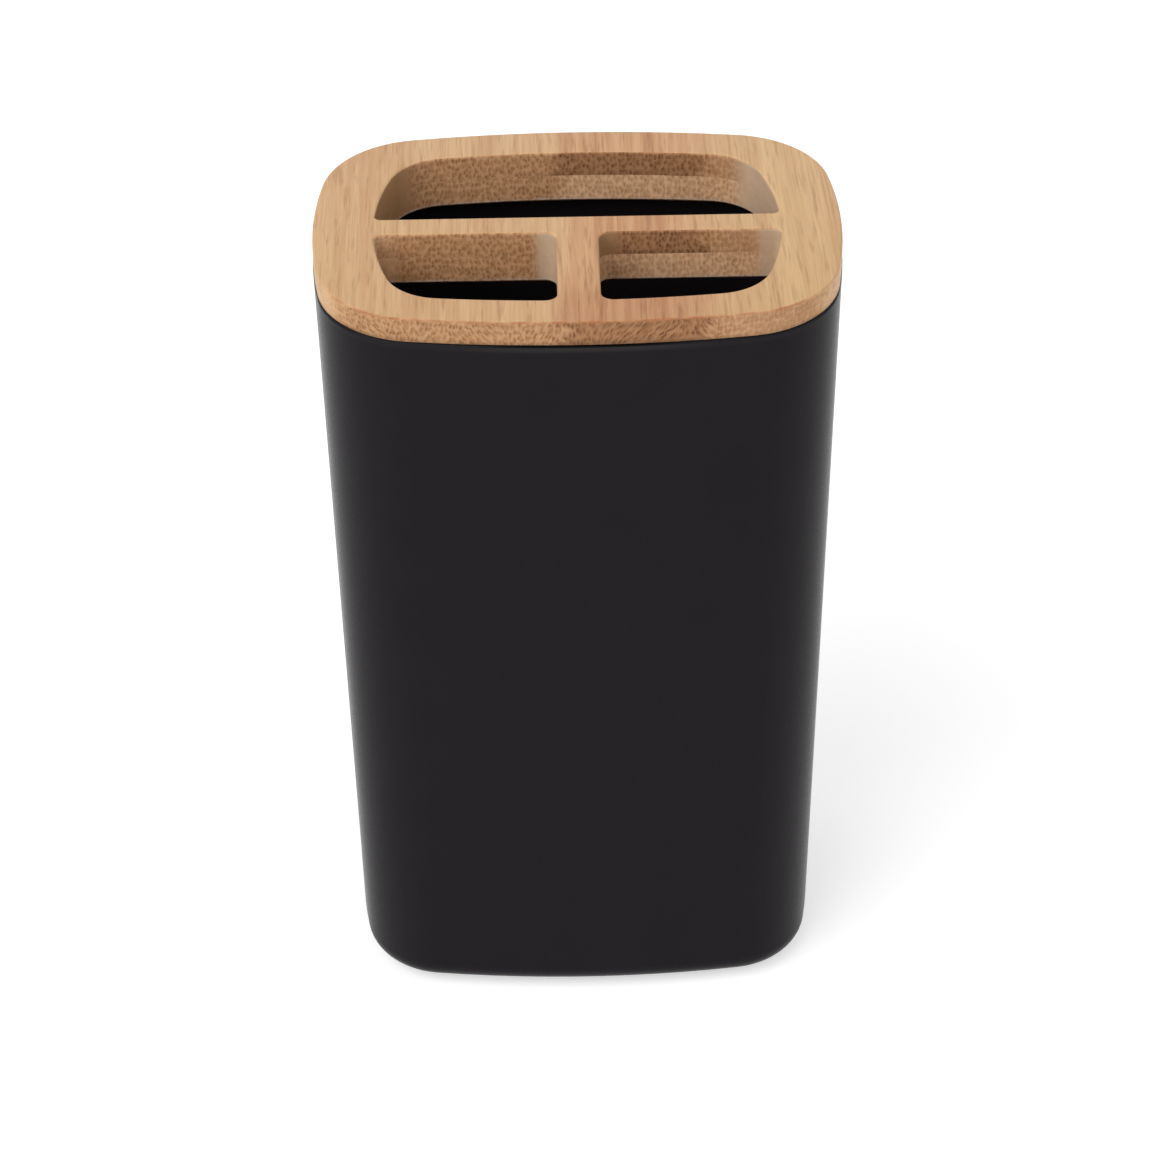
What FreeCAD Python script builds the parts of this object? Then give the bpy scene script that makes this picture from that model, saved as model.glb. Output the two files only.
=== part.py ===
"""Toothbrush holder: a tapered moulded cup with a lift-off lid of two-ply laminated bamboo.

Millimetres, +Z up. The origin is on the surface that the holder stands on, below the middle
of the cup. The front, which has the two short slots, faces -Y.
"""

import FreeCAD, Part
import math
import os

import Sketcher

doc = FreeCAD.newDocument("toothbrush_holder")


# Driving sizes, one named cell each

SIZES = {
    # Cup outline at the rim: four bowed sides joined by round corners
    "rim_width": 75.0,
    "rim_depth": 52.5,
    "rim_side_bow": 74.5,
    "rim_face_bow": 179.0,
    "rim_corner": 14.9,
    # Cup shell: each side draws in by the taper from the rim to the base
    "cup_height": 119.0,
    "taper": 2.7,
    "wall": 2.2,
    "floor_thickness": 3.0,
    "base_round": 3.8,
    "cavity_round": 4.0,
    "rim_round": 0.5,
    # Shallow recess under the base
    "recess_inset": 5.5,
    "recess_depth": 0.8,
    # Anti-slip pads in the corners of the recess
    "pad_diameter": 9.0,
    "pad_thickness": 1.5,
    "pad_round": 0.4,
    "pad_margin": 2.5,
    # Lid boards: the cover rests on the rim and the plug drops inside it
    "cover_thickness": 3.8,
    "cover_setback": 0.1,
    "cover_round": 0.45,
    "cover_chamfer": 0.2,
    "plug_thickness": 4.4,
    "plug_clearance": 0.45,
    "plug_chamfer": 0.8,
    # Slots: one opening with a bar across it and a stem from the bar to the front
    "side_rim": 8.7,
    "face_rim": 6.2,
    "opening_side_bow": 42.0,
    "opening_corner": 8.3,
    "opening_shift": 0.15,
    "bar_depth": 4.4,
    "bar_corner": 1.0,
    "stem_width": 6.0,
    "stem_corner": 1.8,
    "slot_ease": 0.4,
    # Bamboo strips, which run from front to back and are glued edge to edge
    "strip_width": 22.7,
    "strip_margin": 0.9,
    # How far a cutting shape runs past what it cuts
    "overrun": 5.0,
}

sheet = doc.addObject("Spreadsheet::Sheet", "sizes")
for row, (alias, value) in enumerate(SIZES.items(), start=1):
    sheet.set(f"A{row}", alias)
    sheet.set(f"B{row}", str(value))
    sheet.setAlias(f"B{row}", alias)
doc.recompute()

# A place counts as the same within this distance
SAME_PLACE = 1e-4


def cell(alias):
    return float(sheet.get(alias))


def bind(item, **expressions):
    """Bind properties of a document object to expressions; a double underscore stands for a dot."""
    for name, expression in expressions.items():
        item.setExpression(name.replace("__", "."), expression)


# Heights and places that several pieces share, as expressions

CUP_BASE_Z = "(sizes.pad_thickness - sizes.recess_depth)"
RIM_Z = f"({CUP_BASE_Z} + sizes.cup_height)"
DRAFT_ANGLE = "atan(sizes.taper / sizes.cup_height)"
PLUG_INSET = "(sizes.wall + sizes.plug_clearance)"
BAR_Y = "(-sizes.opening_shift)"


def rim_outline(inset="0"):
    """Outline of the cup at its rim, moved inwards all round by an inset."""
    return {
        "width": f"(sizes.rim_width - 2 * {inset})",
        "depth": f"(sizes.rim_depth - 2 * {inset})",
        "side_bow": f"(sizes.rim_side_bow - {inset})",
        "face_bow": f"(sizes.rim_face_bow - {inset})",
        "corner": f"(sizes.rim_corner - {inset})",
    }


def opening_outline():
    """Outline of the slots' common opening, inside the lid's frame, with ends rounder than the rim's."""
    return {
        "width": "(sizes.rim_width - 2 * sizes.side_rim)",
        "depth": "(sizes.rim_depth - 2 * sizes.face_rim)",
        "side_bow": "sizes.opening_side_bow",
        "face_bow": "(sizes.rim_face_bow - sizes.face_rim)",
        "corner": "sizes.opening_corner",
    }


# Sketches


def angle_from(centre, point):
    return math.atan2(point.y - centre.y, point.x - centre.x)


def corner_centre(side_centre, side_reach, face_centre, face_reach):
    """Where circles about the two centres meet, on the side away from the origin."""
    between = face_centre - side_centre
    span = between.Length
    along = (side_reach**2 - face_reach**2 + span**2) / (2 * span)
    across = math.sqrt(side_reach**2 - along**2)
    unit = between / span
    return side_centre + unit * along + FreeCAD.Vector(-unit.y, unit.x, 0) * across


def draw_bowed_outline(sketch, outline):
    """Draw four bowed sides and four tangent corners, with each size bound to its expression."""
    size = {name: sketch.evalExpression(text) for name, text in outline.items()}
    side_offset = size["side_bow"] - size["width"] / 2
    face_offset = size["face_bow"] - size["depth"] / 2
    vector = FreeCAD.Vector
    right_centre = vector(-side_offset, 0, 0)
    back_centre = vector(0, -face_offset, 0)
    corner = corner_centre(
        right_centre, size["side_bow"] - size["corner"], back_centre, size["face_bow"] - size["corner"]
    )
    side_turn = angle_from(right_centre, corner)
    face_turn = angle_from(back_centre, corner)
    half, whole = math.pi, 2 * math.pi
    arcs = [
        (right_centre, size["side_bow"], -side_turn, side_turn),
        (corner, size["corner"], side_turn, face_turn),
        (back_centre, size["face_bow"], face_turn, half - face_turn),
        (vector(-corner.x, corner.y, 0), size["corner"], half - face_turn, half - side_turn),
        (-right_centre, size["side_bow"], half - side_turn, half + side_turn),
        (-corner, size["corner"], half + side_turn, half + face_turn),
        (-back_centre, size["face_bow"], half + face_turn, whole - face_turn),
        (vector(corner.x, -corner.y, 0), size["corner"], whole - face_turn, whole - side_turn),
    ]
    up = vector(0, 0, 1)
    for centre, radius, start, end in arcs:
        sketch.addGeometry(Part.ArcOfCircle(Part.Circle(centre, up, radius), start, end), False)
    right, back, left, front = 0, 2, 4, 6
    corners = (1, 3, 5, 7)
    start_point, end_point, middle_point = 1, 2, 3
    origin, x_axis, y_axis = -1, -1, -2

    def constrain(*values, name=None, expression=None):
        index = sketch.addConstraint(Sketcher.Constraint(*values))
        if name:
            sketch.renameConstraint(index, name)
            sketch.setExpression(f"Constraints.{name}", expression)

    for arc in range(len(arcs)):
        constrain("Tangent", arc, end_point, (arc + 1) % len(arcs), start_point)
    for side, axis in ((right, x_axis), (left, x_axis), (back, y_axis), (front, y_axis)):
        constrain("PointOnObject", side, middle_point, axis)
    constrain("Equal", right, left)
    constrain("Equal", back, front)
    for other in corners[1:]:
        constrain("Equal", corners[0], other)
    constrain("Radius", right, size["side_bow"], name="side_bow", expression=outline["side_bow"])
    constrain("Radius", back, size["face_bow"], name="face_bow", expression=outline["face_bow"])
    constrain("Radius", corners[0], size["corner"], name="corner", expression=outline["corner"])
    side_gap = f"{outline['side_bow']} - {outline['width']} / 2"
    face_gap = f"{outline['face_bow']} - {outline['depth']} / 2"
    at_origin = (origin, start_point)
    constrain(
        "DistanceX", right, middle_point, *at_origin, side_offset, name="right_centre", expression=side_gap
    )
    constrain(
        "DistanceX", *at_origin, left, middle_point, side_offset, name="left_centre", expression=side_gap
    )
    constrain(
        "DistanceY", back, middle_point, *at_origin, face_offset, name="back_centre", expression=face_gap
    )
    constrain(
        "DistanceY", *at_origin, front, middle_point, face_offset, name="front_centre", expression=face_gap
    )


def draw_rectangle(sketch, x_low, x_high, y_low, y_high):
    """Draw a rectangle whose four sides are bound to expressions of their places."""
    place = [sketch.evalExpression(text) for text in (x_low, x_high, y_low, y_high)]
    vector = FreeCAD.Vector
    points = [
        vector(place[0], place[2], 0),
        vector(place[1], place[2], 0),
        vector(place[1], place[3], 0),
        vector(place[0], place[3], 0),
    ]
    sides = len(points)
    for index in range(sides):
        sketch.addGeometry(Part.LineSegment(points[index], points[(index + 1) % sides]), False)
    for index in range(sides):
        sketch.addConstraint(Sketcher.Constraint("Coincident", index, 2, (index + 1) % sides, 1))
    for index, kind in enumerate(("Horizontal", "Vertical", "Horizontal", "Vertical")):
        sketch.addConstraint(Sketcher.Constraint(kind, index))
    bounds = (
        ("x_low", "DistanceX", 0, x_low, place[0]),
        ("x_high", "DistanceX", 2, x_high, place[1]),
        ("y_low", "DistanceY", 0, y_low, place[2]),
        ("y_high", "DistanceY", 2, y_high, place[3]),
    )
    for name, kind, line, expression, value in bounds:
        index = sketch.addConstraint(Sketcher.Constraint(kind, -1, 1, line, 1, value))
        sketch.renameConstraint(index, name)
        sketch.setExpression(f"Constraints.{name}", expression)


def sketch_on_body(body, name, height="0", shift_y="0"):
    """A sketch that lies level in its body, at a height above the body's origin."""
    sketch = body.newObject("Sketcher::SketchObject", name)
    level = next(plane for plane in body.Origin.OriginFeatures if plane.Role == "XY_Plane")
    sketch.AttachmentSupport = (level, [""])
    sketch.MapMode = "FlatFace"
    bind(sketch, AttachmentOffset__Base__z=height, AttachmentOffset__Base__y=shift_y)
    doc.recompute()
    return sketch


# Finding edges of a finished feature


def edge_names(shape, wanted):
    """Names of the wanted edges, as a feature that works on edges takes them."""
    return [
        f"Edge{index}"
        for index, edge in enumerate(shape.Edges, start=1)
        if any(edge.isSame(other) for other in wanted)
    ]


def level_face(shape, height):
    """The largest flat face at a height."""
    faces = [
        face
        for face in shape.Faces
        if abs(face.BoundBox.ZMin - height) < SAME_PLACE and face.BoundBox.ZLength < SAME_PLACE
    ]
    return max(faces, key=lambda face: face.Area)


def outer_edges(shape, height):
    return edge_names(shape, level_face(shape, height).OuterWire.Edges)


def inner_edges(shape, height):
    face = level_face(shape, height)
    edges = [edge for wire in face.Wires if not wire.isSame(face.OuterWire) for edge in wire.Edges]
    return edge_names(shape, edges)


def upright_edges(shape, test):
    """Upright edges whose place (x, y) passes a test."""

    def is_wanted(edge):
        box = edge.BoundBox
        is_upright = box.XLength < SAME_PLACE and box.YLength < SAME_PLACE
        return is_upright and test(box.Center.x, box.Center.y)

    return edge_names(shape, [edge for edge in shape.Edges if is_wanted(edge)])


def dress(body, kind, name, base, edges, size):
    """Round or chamfer the named edges of a feature by a size from the sheet."""
    feature = body.newObject(f"PartDesign::{kind}", name)
    feature.Base = (base, edges)
    bind(feature, **{"Radius" if kind == "Fillet" else "Size": f"sizes.{size}"})
    doc.recompute()
    return feature


# Cup: one moulded shell, wider at the rim than at the base, with a recess under it


def upright_faces(shape, is_inner):
    """Names of the faces that stand upright, either round the hollow or round the outside."""
    names = []
    for index, face in enumerate(shape.Faces, start=1):
        low_u, high_u, low_v, high_v = face.ParameterRange
        normal = face.normalAt((low_u + high_u) / 2, (low_v + high_v) / 2)
        faces_middle = normal.dot(face.CenterOfMass) < 0
        if abs(normal.z) < SAME_PLACE and faces_middle == is_inner:
            names.append(f"Face{index}")
    return names


def taper_sides(body, name, base, is_inner):
    """Slope the upright faces inwards from the rim down."""
    shape = base.Shape
    rim_face = level_face(shape, cell("cup_height"))
    rim_index = next(index for index, face in enumerate(shape.Faces, start=1) if face.isSame(rim_face))
    feature = body.newObject("PartDesign::Draft", name)
    feature.Base = (base, upright_faces(shape, is_inner))
    feature.NeutralPlane = (base, [f"Face{rim_index}"])
    feature.Reversed = not is_inner
    bind(feature, Angle=DRAFT_ANGLE)
    doc.recompute()
    return feature


def make_cup():
    body = doc.addObject("PartDesign::Body", "cup")
    outline = sketch_on_body(body, "cup_outline")
    draw_bowed_outline(outline, rim_outline())
    block = body.newObject("PartDesign::Pad", "cup_block")
    block.Profile = outline
    bind(block, Length="sizes.cup_height")
    mouth = sketch_on_body(body, "cup_mouth_outline", "sizes.cup_height")
    draw_bowed_outline(mouth, rim_outline("sizes.wall"))
    hollow = body.newObject("PartDesign::Pocket", "cup_hollow")
    hollow.Profile = mouth
    bind(hollow, Length="sizes.cup_height - sizes.floor_thickness")
    doc.recompute()
    if not hollow.Shape.Volume < block.Shape.Volume:
        raise RuntimeError("the hollow of the cup cuts nothing")
    shell = taper_sides(body, "cup_inner_sides", hollow, is_inner=True)
    shell = taper_sides(body, "cup_outer_sides", shell, is_inner=False)

    rim_height = cell("cup_height")
    floor_height = cell("floor_thickness")
    shell = dress(body, "Fillet", "cup_base_edge", shell, outer_edges(shell.Shape, 0), "base_round")
    floor_edges = outer_edges(shell.Shape, floor_height)
    shell = dress(body, "Fillet", "cup_floor_edge", shell, floor_edges, "cavity_round")
    rim_edges = outer_edges(shell.Shape, rim_height) + inner_edges(shell.Shape, rim_height)
    shell = dress(body, "Fillet", "cup_rim_edges", shell, rim_edges, "rim_round")

    underside = sketch_on_body(body, "recess_outline")
    draw_bowed_outline(underside, rim_outline("(sizes.taper + sizes.recess_inset)"))
    recess = body.newObject("PartDesign::Pocket", "cup_base_recess")
    recess.Profile = underside
    recess.Reversed = True
    bind(recess, Length="sizes.recess_depth")
    bind(body, Placement__Base__z=CUP_BASE_Z)
    doc.recompute()
    if not recess.Shape.Volume < shell.Shape.Volume:
        raise RuntimeError("the recess under the base cuts nothing")
    return body


# Anti-slip pads: soft discs stuck in the recess, one near each corner

PAD_INSET = "(sizes.taper + sizes.recess_inset + sizes.pad_margin + sizes.pad_diameter / 2)"
PAD_X = f"(sizes.rim_width / 2 - {PAD_INSET})"
# How far the bowed front and back fall away from their middle, at the pads
FACE_FALL = f"(sizes.rim_face_bow - sqrt(sizes.rim_face_bow ^ 2 - {PAD_X} ^ 2))"
PAD_Y = f"(sizes.rim_depth / 2 - {PAD_INSET} - {FACE_FALL})"


def make_pad(name, x, y):
    body = doc.addObject("PartDesign::Body", name)
    outline = sketch_on_body(body, f"{name}_outline")
    outline.addGeometry(
        Part.Circle(FreeCAD.Vector(0, 0, 0), FreeCAD.Vector(0, 0, 1), cell("pad_diameter") / 2), False
    )
    outline.addConstraint(Sketcher.Constraint("Coincident", 0, 3, -1, 1))
    index = outline.addConstraint(Sketcher.Constraint("Diameter", 0, cell("pad_diameter")))
    outline.renameConstraint(index, "diameter")
    outline.setExpression("Constraints.diameter", "sizes.pad_diameter")
    disc = body.newObject("PartDesign::Pad", f"{name}_disc")
    disc.Profile = outline
    bind(disc, Length="sizes.pad_thickness")
    doc.recompute()
    dress(body, "Fillet", f"{name}_edge", disc, outer_edges(disc.Shape, 0), "pad_round")
    bind(body, Placement__Base__x=x, Placement__Base__y=y)
    doc.recompute()
    return body


# Lid boards: each is a level slab with three slots through it


def pad_sketch(body, name, sketch, thickness):
    feature = body.newObject("PartDesign::Pad", name)
    feature.Profile = sketch
    feature.Refine = True
    bind(feature, Length=thickness)
    doc.recompute()
    return feature


def make_slotted_board(name, outline, thickness, underside_z):
    """A board with its opening, bar and stem, and the corners where they meet rounded."""
    body = doc.addObject("PartDesign::Body", name)
    slab_outline = sketch_on_body(body, f"{name}_outline")
    draw_bowed_outline(slab_outline, outline)
    slab = pad_sketch(body, f"{name}_slab", slab_outline, thickness)

    hole = opening_outline()
    opening = sketch_on_body(body, f"{name}_opening", shift_y=BAR_Y)
    draw_bowed_outline(opening, hole)
    pocket = body.newObject("PartDesign::Pocket", f"{name}_opening_cut")
    pocket.Profile = opening
    pocket.Reversed = True
    bind(pocket, Length=f"{thickness} + sizes.overrun")
    doc.recompute()
    if not pocket.Shape.Volume < slab.Shape.Volume:
        raise RuntimeError(f"the opening in {name} cuts nothing")

    # The bar and the stem end half way into the frame that the opening leaves
    bar_end = f"(({outline['width']} + {hole['width']}) / 4)"
    bar_half = "(sizes.bar_depth / 2)"
    bar_sketch = sketch_on_body(body, f"{name}_bar_outline", shift_y=BAR_Y)
    draw_rectangle(bar_sketch, f"-{bar_end}", bar_end, f"-{bar_half}", bar_half)
    pad_sketch(body, f"{name}_bar", bar_sketch, thickness)
    stem_half = "(sizes.stem_width / 2)"
    stem_end = f"(({outline['depth']} + {hole['depth']}) / 4 - sizes.opening_shift / 2)"
    stem_sketch = sketch_on_body(body, f"{name}_stem_outline", shift_y=BAR_Y)
    draw_rectangle(stem_sketch, f"-{stem_half}", stem_half, f"-{stem_end}", "0")
    stem = pad_sketch(body, f"{name}_stem", stem_sketch, thickness)

    def is_bar_corner(x, y):
        from_bar = abs(abs(y + cell("opening_shift")) - cell("bar_depth") / 2)
        return from_bar < SAME_PLACE and abs(x) > cell("stem_width")

    def is_stem_corner(x, y):
        return abs(abs(x) - cell("stem_width") / 2) < SAME_PLACE

    bar_edges = upright_edges(stem.Shape, is_bar_corner)
    rounded = dress(body, "Fillet", f"{name}_bar_corners", stem, bar_edges, "bar_corner")
    stem_edges = upright_edges(rounded.Shape, is_stem_corner)
    rounded = dress(body, "Fillet", f"{name}_stem_corners", rounded, stem_edges, "stem_corner")
    bind(body, Placement__Base__z=underside_z)
    return body, rounded


def make_cover_board():
    outline = rim_outline("sizes.cover_setback")
    body, board = make_slotted_board("cover_board", outline, "sizes.cover_thickness", RIM_Z)
    top = cell("cover_thickness")
    board = dress(body, "Fillet", "cover_top_edge", board, outer_edges(board.Shape, top), "cover_round")
    board = dress(body, "Fillet", "cover_slot_edges", board, inner_edges(board.Shape, top), "slot_ease")
    dress(body, "Chamfer", "cover_under_edge", board, outer_edges(board.Shape, 0), "cover_chamfer")
    return body


def make_plug_board():
    underside = f"({RIM_Z} - sizes.plug_thickness)"
    outline = rim_outline(PLUG_INSET)
    body, board = make_slotted_board("plug_board", outline, "sizes.plug_thickness", underside)
    board = dress(body, "Chamfer", "plug_under_edge", board, outer_edges(board.Shape, 0), "plug_chamfer")
    dress(body, "Chamfer", "plug_slot_edges", board, inner_edges(board.Shape, 0), "slot_ease")
    return body


# Bamboo pieces: the boards are glued up from strips, and the slots part the strips again

GLUE_MIDDLE = "(-sizes.stem_width / 2 - sizes.strip_margin)"
GLUE_LEFT = f"({GLUE_MIDDLE} - sizes.strip_width)"
GLUE_RIGHT = f"({GLUE_MIDDLE} + sizes.strip_width)"
FAR_X = "(sizes.rim_width / 2 + sizes.overrun)"
FAR_Y = "(sizes.rim_depth / 2 + sizes.overrun)"
# Lines through the middle of the back slot and of the front slots
SLOT_MIDDLE = "((sizes.rim_depth / 2 - sizes.face_rim + sizes.bar_depth / 2) / 2)"
BACK_PART = f"({BAR_Y} + {SLOT_MIDDLE})"
FRONT_PART = f"({BAR_Y} - {SLOT_MIDDLE})"

STRIP_REGIONS = {
    "left_end": (f"-{FAR_X}", GLUE_LEFT, f"-{FAR_Y}", FAR_Y),
    "back_left": (GLUE_LEFT, GLUE_MIDDLE, BACK_PART, FAR_Y),
    "bar_left": (GLUE_LEFT, GLUE_MIDDLE, FRONT_PART, BACK_PART),
    "front_left": (GLUE_LEFT, GLUE_MIDDLE, f"-{FAR_Y}", FRONT_PART),
    "back_right": (GLUE_MIDDLE, GLUE_RIGHT, BACK_PART, FAR_Y),
    "bar_and_stem": (GLUE_MIDDLE, GLUE_RIGHT, f"-{FAR_Y}", BACK_PART),
    "right_end": (GLUE_RIGHT, FAR_X, f"-{FAR_Y}", FAR_Y),
}


def make_strip_pieces(board, prefix, low_z, thickness):
    pieces = []
    for place, (x_low, x_high, y_low, y_high) in STRIP_REGIONS.items():
        region = doc.addObject("Part::Box", f"{prefix}_{place}_region")
        bind(
            region,
            Length=f"{x_high} - {x_low}",
            Width=f"{y_high} - {y_low}",
            Height=f"{thickness} + 2 * sizes.overrun",
            Placement__Base__x=x_low,
            Placement__Base__y=y_low,
            Placement__Base__z=f"{low_z} - sizes.overrun",
        )
        piece = doc.addObject("Part::Common", f"{prefix}_{place}")
        piece.Base = board
        piece.Tool = region
        pieces.append(piece)
    doc.recompute()
    return pieces


sub_parts = [make_cup()]
for side, x in (("left", f"-{PAD_X}"), ("right", PAD_X)):
    for end, y in (("front", f"-{PAD_Y}"), ("back", PAD_Y)):
        sub_parts.append(make_pad(f"pad_{end}_{side}", x, y))
sub_parts += make_strip_pieces(make_cover_board(), "cover", RIM_Z, "sizes.cover_thickness")
sub_parts += make_strip_pieces(
    make_plug_board(), "plug", f"({RIM_Z} - sizes.plug_thickness)", "sizes.plug_thickness"
)
for part in sub_parts:
    part.Label = part.Name
doc.recompute()

# Nothing is written unless every object computed and every sub-part is one sound solid

for item in doc.Objects:
    if {"Invalid", "Error"} & set(item.State):
        raise RuntimeError(f"{item.Name} failed to compute")
for part in sub_parts:
    shape = part.Shape
    if shape.isNull() or not shape.isValid() or len(shape.Solids) != 1:
        raise RuntimeError(f"{part.Label} is not one sound solid")

os.makedirs("parts", exist_ok=True)
for part in sub_parts:
    part.Shape.exportStep(os.path.join("parts", f"{part.Label}.step"))
    box = part.Shape.optimalBoundingBox()
    print(
        f"{part.Label}: {box.XLength:.2f} x {box.YLength:.2f} x {box.ZLength:.2f},"
        f" z {box.ZMin:.2f} to {box.ZMax:.2f}, volume {part.Shape.Volume:.1f}"
    )
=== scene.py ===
import math

import bpy
from mathutils import Matrix, Vector


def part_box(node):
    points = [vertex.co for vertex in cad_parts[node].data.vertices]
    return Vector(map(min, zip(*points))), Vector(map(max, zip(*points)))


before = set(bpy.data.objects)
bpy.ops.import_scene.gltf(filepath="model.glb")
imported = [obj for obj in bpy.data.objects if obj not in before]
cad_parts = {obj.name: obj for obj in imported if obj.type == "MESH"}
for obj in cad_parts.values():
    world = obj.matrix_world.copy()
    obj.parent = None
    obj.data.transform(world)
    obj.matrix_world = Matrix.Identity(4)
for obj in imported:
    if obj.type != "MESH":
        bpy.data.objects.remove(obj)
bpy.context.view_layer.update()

bpy.ops.object.select_all(action="DESELECT")


# Cup: one tapered shell, injection moulded in near-black plastic with a fine satin texture from the mould.
# It stands on four pads and carries the lid on its rim. The moulded colour is very slightly cloudy.
# A painted highlight lightens the rim just below the lid, and painted shade darkens the seam under it, both
# most of all in the middle.
MILLIMETRES_PER_METRE = 1000.0


def add_node(tree, kind, sockets=None, **settings):
    node = tree.nodes.new(kind)
    for name, value in settings.items():
        setattr(node, name, value)
    for socket, value in (sockets or {}).items():
        if isinstance(value, bpy.types.NodeSocket):
            tree.links.new(value, node.inputs[socket])
        else:
            node.inputs[socket].default_value = value
    return node


def new_finish(name):
    finish = bpy.data.materials.new(name)
    finish.use_nodes = True
    tree = finish.node_tree
    place = add_node(tree, "ShaderNodeTexCoord").outputs["Object"]
    return finish, tree, tree.nodes["Principled BSDF"], place


def stretched(tree, place, stretch, shift=(0.0, 0.0, 0.0), turn=0.0):
    sockets = {"Vector": place, "Scale": stretch, "Location": shift, "Rotation": (0.0, 0.0, turn)}
    return add_node(tree, "ShaderNodeMapping", sockets).outputs["Vector"]


def in_millimetres(tree, place, shift=(0.0, 0.0, 0.0), turn=0.0):
    return stretched(tree, place, (MILLIMETRES_PER_METRE,) * 3, shift, turn)


def noise(tree, place, scale=1.0, detail=2.0, roughness=0.5, output="Fac"):
    sockets = {"Vector": place, "Scale": scale, "Detail": detail, "Roughness": roughness}
    return add_node(tree, "ShaderNodeTexNoise", sockets).outputs[output]


def ramp(tree, value, low, high, to_low=0.0, to_high=1.0):
    sockets = {"Value": value, "From Min": low, "From Max": high, "To Min": to_low, "To Max": to_high}
    return add_node(tree, "ShaderNodeMapRange", sockets, interpolation_type="SMOOTHSTEP").outputs["Result"]


def spread_noise(tree, texture, to_low=0.0, to_high=1.0):
    USUAL_RANGE = 0.3, 0.7
    return ramp(tree, texture, *USUAL_RANGE, to_low, to_high)


def maths(tree, operation, first, second=0.0):
    return add_node(tree, "ShaderNodeMath", {0: first, 1: second}, operation=operation).outputs["Value"]


def product(tree, *shares):
    result = shares[0]
    for share in shares[1:]:
        result = maths(tree, "MULTIPLY", result, share)
    return result


def axes(tree, vector):
    return add_node(tree, "ShaderNodeSeparateXYZ", {"Vector": vector}).outputs


def mix_colours(tree, share, first, second):
    FIRST_COLOUR, SECOND_COLOUR, MIXED_COLOUR = 6, 7, 2
    sockets = {"Factor": share, FIRST_COLOUR: first, SECOND_COLOUR: second}
    return add_node(tree, "ShaderNodeMix", sockets, data_type="RGBA").outputs[MIXED_COLOUR]


def coat_surface(tree, shader, colour, roughness, specular):
    shader.inputs["Specular IOR Level"].default_value = specular
    tree.links.new(colour, shader.inputs["Base Color"])
    tree.links.new(roughness, shader.inputs["Roughness"])


def raise_surface(tree, shader, height, strength, depth):
    bump = add_node(tree, "ShaderNodeBump", {"Height": height, "Strength": strength, "Distance": depth})
    tree.links.new(bump.outputs["Normal"], shader.inputs["Normal"])


def wear_finish(nodes, finish):
    for node in nodes:
        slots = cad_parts[node].data.materials
        slots.clear()
        slots.append(finish)


def moulded_plastic():
    DARK = (0.0130, 0.0108, 0.0130, 1.0)
    LIGHT = (0.0160, 0.0135, 0.0160, 1.0)
    RIM_PAINTED_HIGHLIGHT = (0.0290, 0.0270, 0.0285, 1.0)
    SEAM_PAINTED_SHADE = (0.0015, 0.0012, 0.0013, 1.0)
    ROUGHNESS = 0.26, 0.34
    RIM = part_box("cup")[1][2]
    RIM_HIGHLIGHT_ZONE = RIM - 0.0013, RIM - 0.0006
    SEAM_SHADE_ZONE = RIM - 0.0004, RIM - 0.0002
    MIDDLE_ZONE = 0.007, 0.020
    FAR_SHARE = 0.25
    finish, tree, shader, place = new_finish("moulded_black_plastic")
    where = axes(tree, place)
    place = in_millimetres(tree, place)
    cloud = noise(tree, place, scale=0.12, detail=3.0)
    central = ramp(tree, maths(tree, "ABSOLUTE", where["X"]), *MIDDLE_ZONE, 1.0, FAR_SHARE)
    # Painted highlight: the rim just below the lid is lighter, most of all in the middle.
    painted_lighting_mask = product(tree, central, ramp(tree, where["Z"], *RIM_HIGHLIGHT_ZONE))
    # Painted shade: the seam just under the lid is darker, most of all in the middle.
    seam_shade = product(tree, central, ramp(tree, where["Z"], *SEAM_SHADE_ZONE))
    colour = mix_colours(tree, cloud, DARK, LIGHT)
    colour = mix_colours(tree, painted_lighting_mask, colour, RIM_PAINTED_HIGHLIGHT)
    colour = mix_colours(tree, seam_shade, colour, SEAM_PAINTED_SHADE)
    grain = noise(tree, place, scale=3.2, detail=3.0, roughness=0.6)
    coat_surface(tree, shader, colour, spread_noise(tree, grain, *ROUGHNESS), specular=0.05)
    raise_surface(tree, shader, grain, strength=0.12, depth=0.00003)
    return finish


wear_finish(["cup"], moulded_plastic())


# Pads: four small discs of grey-black rubber, pressed out of sheet and stuck under the base.
# They keep the cup from sliding. Their faces are matt and faintly dimpled.
def pad_rubber():
    DARK = (0.018, 0.018, 0.019, 1.0)
    LIGHT = (0.032, 0.031, 0.031, 1.0)
    ROUGHNESS = 0.75, 0.9
    finish, tree, shader, place = new_finish("pad_rubber")
    place = in_millimetres(tree, place)
    cloud = noise(tree, place, scale=0.8, detail=3.0)
    dimple = noise(tree, place, scale=5.0)
    colour = mix_colours(tree, cloud, DARK, LIGHT)
    coat_surface(tree, shader, colour, spread_noise(tree, dimple, *ROUGHNESS), specular=0.3)
    raise_surface(tree, shader, dimple, strength=0.4, depth=0.00008)
    return finish


wear_finish([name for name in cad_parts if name.startswith("pad_")], pad_rubber())


# Lid, lower board: the plug, four bamboo strips glued edge to edge with the fibre running front to back.
# It drops inside the rim and is glued under the cover. Sawn ends show dark dots, planed faces show streaks.
# The ends of the slots are plain and carry painted light and shade, and the lower edge of their walls is a
# little frayed.
def shade_colour(tree, colour, strength):
    sockets = {0: colour, "Scale": strength}
    return add_node(tree, "ShaderNodeVectorMath", sockets, operation="SCALE").outputs["Vector"]


def tint_colour(tree, colour, tint):
    sockets = {0: colour, 1: tint}
    return add_node(tree, "ShaderNodeVectorMath", sockets, operation="MULTIPLY").outputs["Vector"]


def total(tree, *shares):
    result = shares[0]
    for share in shares[1:]:
        result = maths(tree, "ADD", result, share)
    return result


def rest_of(tree, share):
    return maths(tree, "SUBTRACT", 1.0, share)


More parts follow.
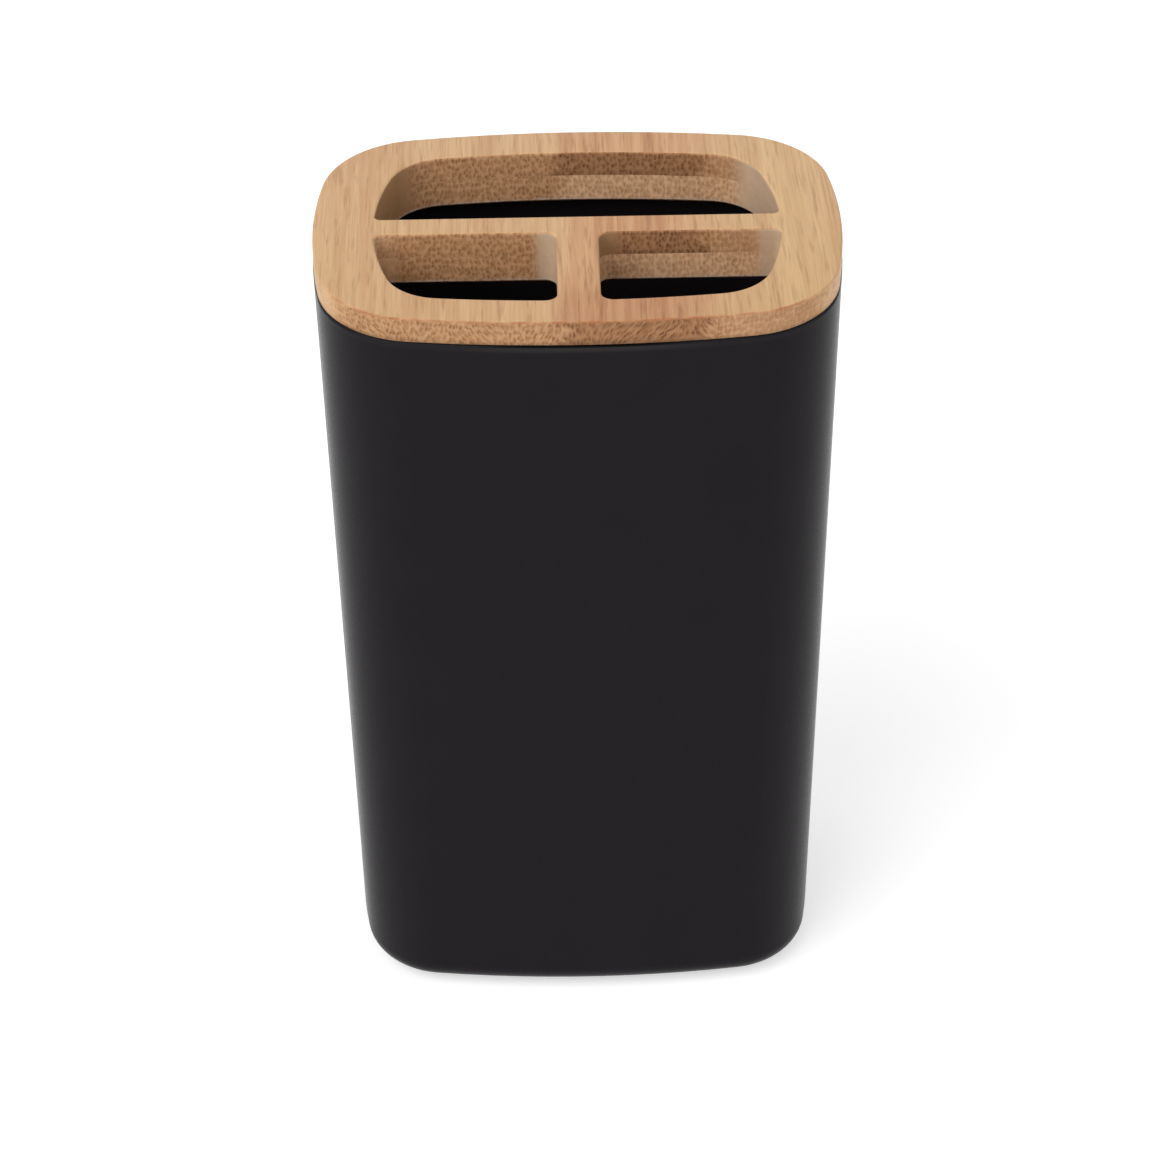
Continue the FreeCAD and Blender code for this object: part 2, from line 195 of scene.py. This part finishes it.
# The share is full on the lid's outer edge and nothing on the walls of its slots.
def outer_edge(tree, where):
    HALF_SIZES = {"X": 0.0316, "Y": 0.0219}
    SQUARENESS = 4.0
    EDGE_ZONE = 0.98, 1.12
    reaches = []
    for axis, half_size in HALF_SIZES.items():
        reach = maths(tree, "ABSOLUTE", maths(tree, "DIVIDE", where[axis], half_size))
        reaches.append(maths(tree, "POWER", reach, SQUARENESS))
    return ramp(tree, total(tree, *reaches), *EDGE_ZONE)


# Slot ends are plain, with painted light on each right end and painted shade on the back slot's left end.
# In front the painted shade is only on the cover, beside the stem. The far left end gets a paler painted
# light.
def slot_ends(tree, where, outside, painted_shade_share, painted_light_share):
    PAINTED_LIGHT_PALE = (0.64, 0.455, 0.305, 1.0)
    PAINTED_SHADE_BROWN = (0.40, 0.222, 0.105, 1.0)
    PAINTED_LIGHT_FAR_LEFT = (0.78, 0.52, 0.31, 1.0)
    STEM_ZONE = 0.0048, 0.0068
    BACK_END_ZONE = 0.0220, 0.0255
    FRONT_END_ZONE = 0.0245, 0.0268
    FRONT_SLOT_MIDDLE = 0.0159
    MIDLINE_ZONE = -0.001, 0.001
    sideways = maths(tree, "ABSOLUTE", where["X"])
    in_back = ramp(tree, where["Y"], *MIDLINE_ZONE)
    in_front = rest_of(tree, in_back)
    back_end = product(tree, in_back, ramp(tree, sideways, *BACK_END_ZONE))
    beside_stem = ramp(tree, sideways, *STEM_ZONE, 1.0, 0.0)
    beside_stem = product(tree, beside_stem, ramp(tree, where["X"], *MIDLINE_ZONE, 1.0, painted_shade_share))
    far_right = ramp(tree, where["X"], *FRONT_END_ZONE)
    far_left = ramp(tree, where["X"], -FRONT_END_ZONE[0], -FRONT_END_ZONE[1], 0.0, painted_light_share)
    front_end = product(tree, in_front, total(tree, far_right, far_left, beside_stem))
    painted_lighting_mask = product(tree, total(tree, back_end, front_end), rest_of(tree, outside))

    middle = product(tree, in_front, maths(tree, "SIGN", where["X"]), FRONT_SLOT_MIDDLE)
    right_half = ramp(tree, maths(tree, "SUBTRACT", where["X"], middle), *MIDLINE_ZONE)
    far_left_painted_light = product(tree, in_front, ramp(tree, where["X"], -FRONT_SLOT_MIDDLE, -FRONT_END_ZONE[0]))
    # Right ends get painted light, left ends painted shade, and the far left end a paler painted light.
    colour = mix_colours(tree, right_half, PAINTED_SHADE_BROWN, PAINTED_LIGHT_PALE)
    colour = mix_colours(tree, far_left_painted_light, colour, PAINTED_LIGHT_FAR_LEFT)
    return painted_lighting_mask, colour


# A strip has its own tones in the middle, and they fade along wavering lines at its sides.
def strip_heart(tree, where, grain, low, high, left_fade, right_fade):
    WAVER_STRETCH = (0.1, 0.05, 0.5)
    WAVER = 0.0012
    waver = noise(tree, stretched(tree, grain, WAVER_STRETCH))
    sideways = maths(tree, "ADD", where["X"], spread_noise(tree, waver, -WAVER, WAVER))
    from_left = ramp(tree, sideways, low + left_fade[0], low + left_fade[1])
    to_right = ramp(tree, sideways, high + right_fade[0], high + right_fade[1], 1.0, 0.0)
    return product(tree, from_left, to_right)


def strayed(tree, grain, start, stretch, reach):
    NOISE_MIDDLE = (0.5, 0.5, 0.5)
    drift = noise(tree, stretched(tree, grain, stretch), detail=1.0, output="Color")
    drift = add_node(tree, "ShaderNodeVectorMath", {0: drift, 1: NOISE_MIDDLE}, operation="SUBTRACT")
    sockets = {0: drift.outputs["Vector"], 1: reach, 2: start}
    return add_node(tree, "ShaderNodeVectorMath", sockets, operation="MULTIPLY_ADD").outputs["Vector"]


# Bundles of fibre run front to back. Across a strip each is a cell, with a core and a gap round it.
# The front edge cuts them askew, into strokes that fan left and right.
def fibre_bundles(tree, grain, front, spacing, stroke_stretch):
    WIDE_STRETCH = (0.1, 0.04, 0.1)
    WIDE_REACH = (1.0, 0.0, 2.2)
    FINE_STRETCH = (1.5, 0.12, 1.1)
    FINE_REACH = (0.85, 0.0, 0.85)
    FAN_STRETCH = (0.07, 0.0, 0.0)
    FAN_LEAN = 0.4 * stroke_stretch
    WALL_STRETCH = 1.8
    CORE_ZONE = 0.12, 0.48
    GAP_ZONE = 0.42, 0.7
    bent = strayed(tree, grain, grain, WIDE_STRETCH, WIDE_REACH)
    bent = axes(tree, strayed(tree, grain, bent, FINE_STRETCH, FINE_REACH))
    fan = noise(tree, stretched(tree, grain, FAN_STRETCH), detail=1.0)
    lean = product(tree, front, spread_noise(tree, fan, -FAN_LEAN, FAN_LEAN), axes(tree, grain)["Z"])
    stretch = ramp(tree, front, 0.0, 1.0, WALL_STRETCH * spacing, stroke_stretch * spacing)
    section = {
        "X": maths(tree, "DIVIDE", maths(tree, "ADD", bent["X"], lean), spacing),
        "Y": maths(tree, "DIVIDE", bent["Z"], stretch),
    }
    section = add_node(tree, "ShaderNodeCombineXYZ", section).outputs["Vector"]
    sockets = {"Vector": section, "Scale": 1.0, "Randomness": 0.7}
    cells = add_node(tree, "ShaderNodeTexVoronoi", sockets, voronoi_dimensions="2D").outputs
    return {
        "core": ramp(tree, cells["Distance"], *CORE_ZONE, 1.0, 0.0),
        "gap": ramp(tree, cells["Distance"], *GAP_ZONE),
        "chance": add_node(tree, "ShaderNodeSeparateColor", {"Color": cells["Color"]}).outputs["Red"],
    }


# Warmer at the front; paler and cooler at the back, a painted sheen. The pink strip blushes at its front.
def front_warmth_and_back_sheen(tree, where, heart, blush_share):
    FRONT_TINT = (1.0, 0.985, 0.955, 1.0)
    BACK_SHEEN_TINT = (1.035, 1.04, 1.06, 1.0)
    BLUSH_TINT = (0.87, 0.75, 0.71, 1.0)
    TINT_ZONE = -0.022, 0.022
    BLUSH_ZONE = -0.013, -0.021
    blush = product(tree, ramp(tree, where["Y"], *BLUSH_ZONE, 0.0, blush_share), heart)
    warmth_and_sheen = mix_colours(tree, ramp(tree, where["Y"], *TINT_ZONE), FRONT_TINT, BACK_SHEEN_TINT)
    return mix_colours(tree, blush, warmth_and_sheen, BLUSH_TINT)


# A planed face has soft bands, fine dark and light lines, here and there a short dash, and a warmer front;
# its back is paler and cooler, a painted sheen.
def planed_face(tree, where, grain, heart, tones, bundles, look):
    WAVE_STRETCH = (0.15, 0.06, 0.15)
    WAVE_REACH = (0.6, 0.0, 0.0)
    BAND_STRETCH = (0.8, 0.025, 0.8)
    FIBRE_STRETCH = (7.0, 0.1, 7.0)
    FIBRE_SHADES = 1.05, 0.95
    DARK_LINE_STRETCH = (1.9, 0.14, 1.9)
    DARK_LINE_ZONE = 0.52, 0.72
    LIGHT_LINE_STRETCH = (1.7, 0.12, 1.7)
    LIGHT_LINE_SHIFT = (40.0, 0.0, 40.0)
    LIGHT_LINE_ZONE = 0.52, 0.75
    LIGHT_LINE_SHARE = 0.6
    DASH_ZONE = 0.45, 0.95
    pale, deep, dash = tones
    wavy = strayed(tree, grain, grain, WAVE_STRETCH, WAVE_REACH)
    band = noise(tree, stretched(tree, wavy, BAND_STRETCH), detail=3.0, roughness=0.6)
    fibre = noise(tree, stretched(tree, grain, FIBRE_STRETCH), detail=3.0, roughness=0.6)
    dark_lines = noise(tree, stretched(tree, wavy, DARK_LINE_STRETCH))
    dark_lines = ramp(tree, dark_lines, *DARK_LINE_ZONE, 0.0, look["streak_share"])
    light_lines = noise(tree, stretched(tree, wavy, LIGHT_LINE_STRETCH, LIGHT_LINE_SHIFT))
    light_lines = ramp(tree, light_lines, *LIGHT_LINE_ZONE, 0.0, LIGHT_LINE_SHARE)
    dashes = ramp(tree, bundles["chance"], *DASH_ZONE, 0.0, look["dash_share"])
    dashes = product(tree, bundles["core"], dashes)
    colour = mix_colours(tree, spread_noise(tree, band), pale, deep)
    colour = mix_colours(tree, dark_lines, colour, dash)
    colour = mix_colours(tree, light_lines, colour, pale)
    colour = mix_colours(tree, dashes, colour, dash)
    colour = shade_colour(tree, colour, spread_noise(tree, fibre, *FIBRE_SHADES))
    colour = tint_colour(tree, colour, front_warmth_and_back_sheen(tree, where, heart, look["blush_share"]))
    return colour, band, fibre


# A sawn end has a pale net with flecks round the dark dots of the bundles. Some are darker at the foot.
def sawn_end(tree, where, grain, front, foot, tones, bundles, look):
    FLECK_TINT = (1.42, 1.58, 1.75)
    FLECK_SHARE = 0.4
    DOT_SHARES = 0.4, 1.0
    FAINT_ZONE = 0.35, 0.65
    FAINT_SHARE = 0.8
    PATCH_SHADES = 0.96, 1.03
    SPECKLE_SHADES = 0.94, 1.06
    FRONT_PAINTED_SHADE = 0.94
    FOOT_ZONE = foot, foot + 0.0016
    net, mark = tones
    patch = noise(tree, grain, scale=0.4)
    speckle = noise(tree, grain, scale=5.0)
    dots = product(
        tree,
        bundles["core"],
        ramp(tree, bundles["chance"], 0.0, 1.0, *DOT_SHARES),
        ramp(tree, patch, *FAINT_ZONE, 1.0, FAINT_SHARE),
    )
    flecks = maths(tree, "MULTIPLY", bundles["gap"], FLECK_SHARE)
    colour = mix_colours(tree, dots, net, mark)
    colour = mix_colours(tree, flecks, colour, tint_colour(tree, net, FLECK_TINT))
    colour = shade_colour(tree, colour, spread_noise(tree, patch, *PATCH_SHADES))
    # Painted shade: the lid's outer front face is a little darker.
    colour = shade_colour(tree, colour, ramp(tree, front, 0.0, 1.0, 1.0, FRONT_PAINTED_SHADE))
    colour = shade_colour(tree, colour, spread_noise(tree, speckle, *SPECKLE_SHADES))
    return shade_colour(tree, colour, ramp(tree, where["Z"], *FOOT_ZONE, look["foot_shade"], 1.0))


def frayed_foot(tree, where, grain, upright, outside, foot, fray_share):
    FRAY_ZONE = foot + 0.0003, foot + 0.0009
    RAGGED_ZONE = 0.4, 0.6
    LEAST_SHARE = 0.2
    near_foot = ramp(tree, where["Z"], *FRAY_ZONE, fray_share, 0.0)
    ragged = ramp(tree, noise(tree, grain, scale=1.6), *RAGGED_ZONE, LEAST_SHARE, 1.0)
    return product(tree, upright, near_foot, ragged, rest_of(tree, outside))


# The arris along the front and back of the lid is reddish here and there.
def reddish_arris(tree, grain, outside, endways, upwards):
    ENDWAYS_ZONE = 0.2, 0.45
    UPWARDS_ZONE = 0.3, 0.6
    PATCH_STRETCH = (0.2, 0.0, 0.0)
    PATCH_ZONE = 0.4, 0.62
    LEAST_SHARE, MOST_SHARE = 0.1, 0.7
    patchy = noise(tree, stretched(tree, grain, PATCH_STRETCH), detail=3.0)
    return product(
        tree,
        outside,
        ramp(tree, endways, *ENDWAYS_ZONE),
        ramp(tree, upwards, *UPWARDS_ZONE, 0.0, MOST_SHARE),
        ramp(tree, patchy, *PATCH_ZONE, LEAST_SHARE, 1.0),
    )


# Which finish shows follows the way a surface points. The seed gives each strip grain of its own.
def bamboo_strip(name, nodes, seed, look):
    REDDISH = (0.40, 0.13, 0.05, 1.0)
    FRAYED = (0.60, 0.53, 0.46, 1.0)
    GRAIN_STEPS = 47.3, 31.0
    PLANED_FADES = (0.0, 0.0045), (-0.005, 0.0015)
    SAWN_FADES = (0.0, 0.0028), (-0.002, 0.0005)
    LEVEL_ZONE = 0.3, 0.7
    CUT_ZONE = 0.45, 0.8
    FRONT_ZONE = 0.0, -0.02
    BAND_SHADES = 1.05, 0.95
    LOWER_EDGE_HEIGHT = 0.0011
    LOWER_EDGE_FACTOR = 0.7
    PLANED_ROUGHNESS, SAWN_ROUGHNESS = 0.5, 0.8
    finish, tree, shader, place = new_finish(name)
    low, high = look["span"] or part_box(nodes[0])
    foot = low[2]
    middle = (low[2] + high[2]) / 2
    where = axes(tree, place)
    shift = (GRAIN_STEPS[0] * seed, GRAIN_STEPS[1] * seed, -MILLIMETRES_PER_METRE * middle)
    grain = in_millimetres(tree, place, shift, look["slant"])
    heart = strip_heart(tree, where, grain, low[0], high[0], *PLANED_FADES)
    sawn_heart = strip_heart(tree, where, grain, low[0], high[0], *SAWN_FADES)
    hearts = heart, heart, heart, sawn_heart, sawn_heart
    tones = [mix_colours(tree, *trio) for trio in zip(hearts, HONEY, look["tones"])]

    facing = axes(tree, add_node(tree, "ShaderNodeNewGeometry").outputs["Normal"])
    endways = maths(tree, "ABSOLUTE", facing["Y"])
    upright = ramp(tree, maths(tree, "ABSOLUTE", facing["Z"]), *LEVEL_ZONE, 1.0, 0.0)
    cut = ramp(tree, endways, *CUT_ZONE)
    outside = outer_edge(tree, where)
    front = product(tree, upright, outside, ramp(tree, where["Y"], *FRONT_ZONE))
    bundles = fibre_bundles(tree, grain, front, look["spacing"], look["stroke_stretch"])
    planed, band, fibre = planed_face(tree, where, grain, heart, tones[:3], bundles, look)
    sawn = sawn_end(tree, where, grain, front, foot, tones[3:], bundles, look)
    painted_lighting_mask, painted_lighting_colour = slot_ends(tree, where, outside, look["painted_shade_share"], look["painted_light_share"])
    painted_lighting_colour = shade_colour(tree, painted_lighting_colour, spread_noise(tree, band, *BAND_SHADES))
    arris = reddish_arris(tree, grain, outside, endways, facing["Z"])
    frayed = frayed_foot(tree, where, grain, upright, outside, foot, look["fray_share"])
    # The lid's outer edge is darker towards its lower edge.
    lower_edge_darkening = product(tree, outside, ramp(tree, where["Z"], foot, foot + LOWER_EDGE_HEIGHT, 1.0, 0.0))

    colour = mix_colours(tree, cut, planed, sawn)
    # Painted light and shade at the plain ends of the slots.
    colour = mix_colours(tree, product(tree, upright, painted_lighting_mask), colour, painted_lighting_colour)
    colour = mix_colours(tree, arris, colour, REDDISH)
    colour = mix_colours(tree, frayed, colour, FRAYED)
    colour = shade_colour(tree, colour, ramp(tree, lower_edge_darkening, 0.0, 1.0, 1.0, LOWER_EDGE_FACTOR))
    roughness = ramp(tree, cut, 0.0, 1.0, PLANED_ROUGHNESS, SAWN_ROUGHNESS)
    coat_surface(tree, shader, colour, roughness, specular=0.3)
    raise_surface(tree, shader, maths(tree, "ADD", bundles["core"], fibre), strength=0.2, depth=0.00004)
    return finish


def wear_strips(board, first_seed, strips):
    for seed, (strip, places, look) in enumerate(strips, first_seed):
        nodes = [f"{board}_{place}" for place in places]
        wear_finish(nodes, bamboo_strip(f"bamboo_{board}_{strip}", nodes, seed, look))


LEFT_END = ["left_end"]
LEFT = ["back_left", "bar_left", "front_left"]
RIGHT = ["back_right", "bar_and_stem"]
RIGHT_END = ["right_end"]

# Tones of a strip: pale and deep of the planed face, its dashes, then the net and the dots of the sawn end.
HONEY = (
    (0.72, 0.468, 0.25, 1.0),
    (0.615, 0.36, 0.182, 1.0),
    (0.43, 0.215, 0.10, 1.0),
    (0.535, 0.286, 0.138, 1.0),
    (0.33, 0.148, 0.056, 1.0),
)
LIGHT_HONEY = (*HONEY[:3], (0.695, 0.412, 0.226, 1.0), (0.50, 0.255, 0.125, 1.0))

# The bundles' spacing is in millimetres. The tones fade at the sides of the span, or else of the strip.
plain_look = {
    "tones": HONEY,
    "span": None,
    "slant": 0.0,
    "spacing": 0.57,
    "stroke_stretch": 1.8,
    "streak_share": 0.5,
    "dash_share": 0.3,
    "blush_share": 0.0,
    "foot_shade": 1.0,
    "fray_share": 0.0,
    "painted_shade_share": 0.0,
    "painted_light_share": 0.0,
}
light_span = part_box("plug_back_right")[0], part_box("plug_right_end")[1]
lower_look = {**plain_look, "fray_share": 0.9, "painted_light_share": 0.65}
lower_right_look = {**lower_look, "tones": LIGHT_HONEY, "span": light_span}
wear_strips(
    "plug",
    first_seed=11,
    strips=[
        ("left_end", LEFT_END, lower_look),
        ("left", LEFT, lower_look),
        ("right", RIGHT, lower_right_look),
        ("right_end", RIGHT_END, lower_right_look),
    ],
)


# Lid, upper board: the cover, four more bamboo strips of mixed tone, glued the same way.
# It rests on the rim of the cup. The strip through the stem is pinker, with coarse brown ends.
# The one at the right is straw-coloured, its grain askew.
PINK = (
    (0.675, 0.40, 0.207, 1.0),
    (0.52, 0.248, 0.121, 1.0),
    (0.36, 0.158, 0.071, 1.0),
    (0.385, 0.184, 0.082, 1.0),
    (0.165, 0.065, 0.024, 1.0),
)
STRAW = (
    (0.735, 0.485, 0.252, 1.0),
    (0.64, 0.39, 0.196, 1.0),
    (0.37, 0.195, 0.09, 1.0),
    (0.545, 0.297, 0.15, 1.0),
    (0.455, 0.232, 0.109, 1.0),
)
left_look = {**plain_look, "dash_share": 0.25, "foot_shade": 0.95, "painted_light_share": 0.33}
left_end_look = {**left_look, "spacing": 0.42}
pink_look = {
    **plain_look,
    "tones": PINK,
    "stroke_stretch": 2.3,
    "streak_share": 0.55,
    "blush_share": 0.75,
    "foot_shade": 0.85,
    "painted_shade_share": 1.0,
}
straw_look = {
    **plain_look,
    "tones": STRAW,
    "slant": -0.035,
    "stroke_stretch": 1.5,
    "streak_share": 0.4,
    "dash_share": 0.45,
}
wear_strips(
    "cover",
    first_seed=1,
    strips=[
        ("left_end", LEFT_END, left_end_look),
        ("left", LEFT, left_look),
        ("right", RIGHT, pink_look),
        ("right_end", RIGHT_END, straw_look),
    ],
)


# Studio: a wide pale floor under the pads, clear from below, and an even white surround.
# A large soft lamp at the left lights the object, and a weaker one lights it from the right.
def background_rays(tree):
    path = add_node(tree, "ShaderNodeLightPath").outputs
    seen = maths(tree, "MAXIMUM", path["Is Camera Ray"], path["Is Glossy Ray"])
    return maths(tree, "MAXIMUM", seen, path["Is Transmission Ray"])


def studio_floor():
    PAPER = (0.8, 0.8, 0.8, 1.0)
    GLOW = 0.5
    SIZE = 12.0
    DROP = 0.0001
    paper = bpy.data.materials.new("studio_floor")
    paper.use_nodes = True
    tree = paper.node_tree
    tree.nodes.clear()
    paint = add_node(tree, "ShaderNodeBsdfDiffuse", {"Color": PAPER})
    strength = maths(tree, "MULTIPLY", background_rays(tree), GLOW)
    glow = add_node(tree, "ShaderNodeEmission", {"Strength": strength})
    both = add_node(tree, "ShaderNodeAddShader", {0: paint.outputs["BSDF"], 1: glow.outputs["Emission"]})
    clear = add_node(tree, "ShaderNodeBsdfTransparent").outputs["BSDF"]
    below = add_node(tree, "ShaderNodeNewGeometry").outputs["Backfacing"]
    shown = add_node(tree, "ShaderNodeMixShader", {"Fac": below, 1: both.outputs["Shader"], 2: clear})
    add_node(tree, "ShaderNodeOutputMaterial", {"Surface": shown.outputs["Shader"]})
    bpy.ops.mesh.primitive_plane_add(size=SIZE, location=(0.0, 0.0, -DROP))
    floor = bpy.context.object
    floor.name = "studio_floor"
    floor.data.materials.append(paper)


def studio_surround():
    WHITE = (1.0, 1.0, 1.0, 1.0)
    LIGHT_STRENGTH, SEEN_STRENGTH = 0.5, 1.0
    world = bpy.data.worlds.new("studio_surround")
    bpy.context.scene.world = world
    world.use_nodes = True
    tree = world.node_tree
    surround = tree.nodes["Background"]
    surround.inputs["Color"].default_value = WHITE
    strength = ramp(tree, background_rays(tree), 0.0, 1.0, LIGHT_STRENGTH, SEEN_STRENGTH)
    tree.links.new(strength, surround.inputs["Strength"])


def soft_lamp(name, place, size, watts):
    AIM = Vector((0.0, 0.0, 0.06))
    lamp = bpy.data.lights.new(name, "AREA")
    lamp.shape = "DISK"
    lamp.size = size
    lamp.energy = watts
    stand = bpy.data.objects.new(name, lamp)
    bpy.context.collection.objects.link(stand)
    turn = (AIM - Vector(place)).to_track_quat("-Z", "Y")
    stand.matrix_world = Matrix.Translation(place) @ turn.to_matrix().to_4x4()


studio_floor()
studio_surround()
soft_lamp("left_lamp", place=(-1.15, -1.15, 1.5), size=2.2, watts=30.3)
soft_lamp("right_lamp", place=(1.5, -0.5, 0.6), size=1.6, watts=6.0)


# Camera: in front, above and very slightly left of centre, with a long lens, turned a little on its axis.
# Its angles are in radians, and its lens and sensor in millimetres.
CAMERA_PLACE = (-0.004938, -0.491313, 0.41809)
CAMERA_AZIMUTH = 0.0084168
CAMERA_ELEVATION = 0.6272406
CAMERA_ROLL = -0.0131469
CAMERA_LENS = 126.197
CAMERA_SENSOR = 36.0

lens = bpy.data.cameras.new("camera")
lens.lens = CAMERA_LENS
lens.sensor_width = CAMERA_SENSOR
camera = bpy.data.objects.new("camera", lens)
bpy.context.collection.objects.link(camera)
camera.matrix_world = (
    Matrix.Translation(CAMERA_PLACE)
    @ Matrix.Rotation(-CAMERA_AZIMUTH, 4, "Z")
    @ Matrix.Rotation(math.pi / 2 - CAMERA_ELEVATION, 4, "X")
    @ Matrix.Rotation(CAMERA_ROLL, 4, "Z")
)
bpy.context.scene.camera = camera
bpy.context.scene.view_settings.view_transform = "Standard"
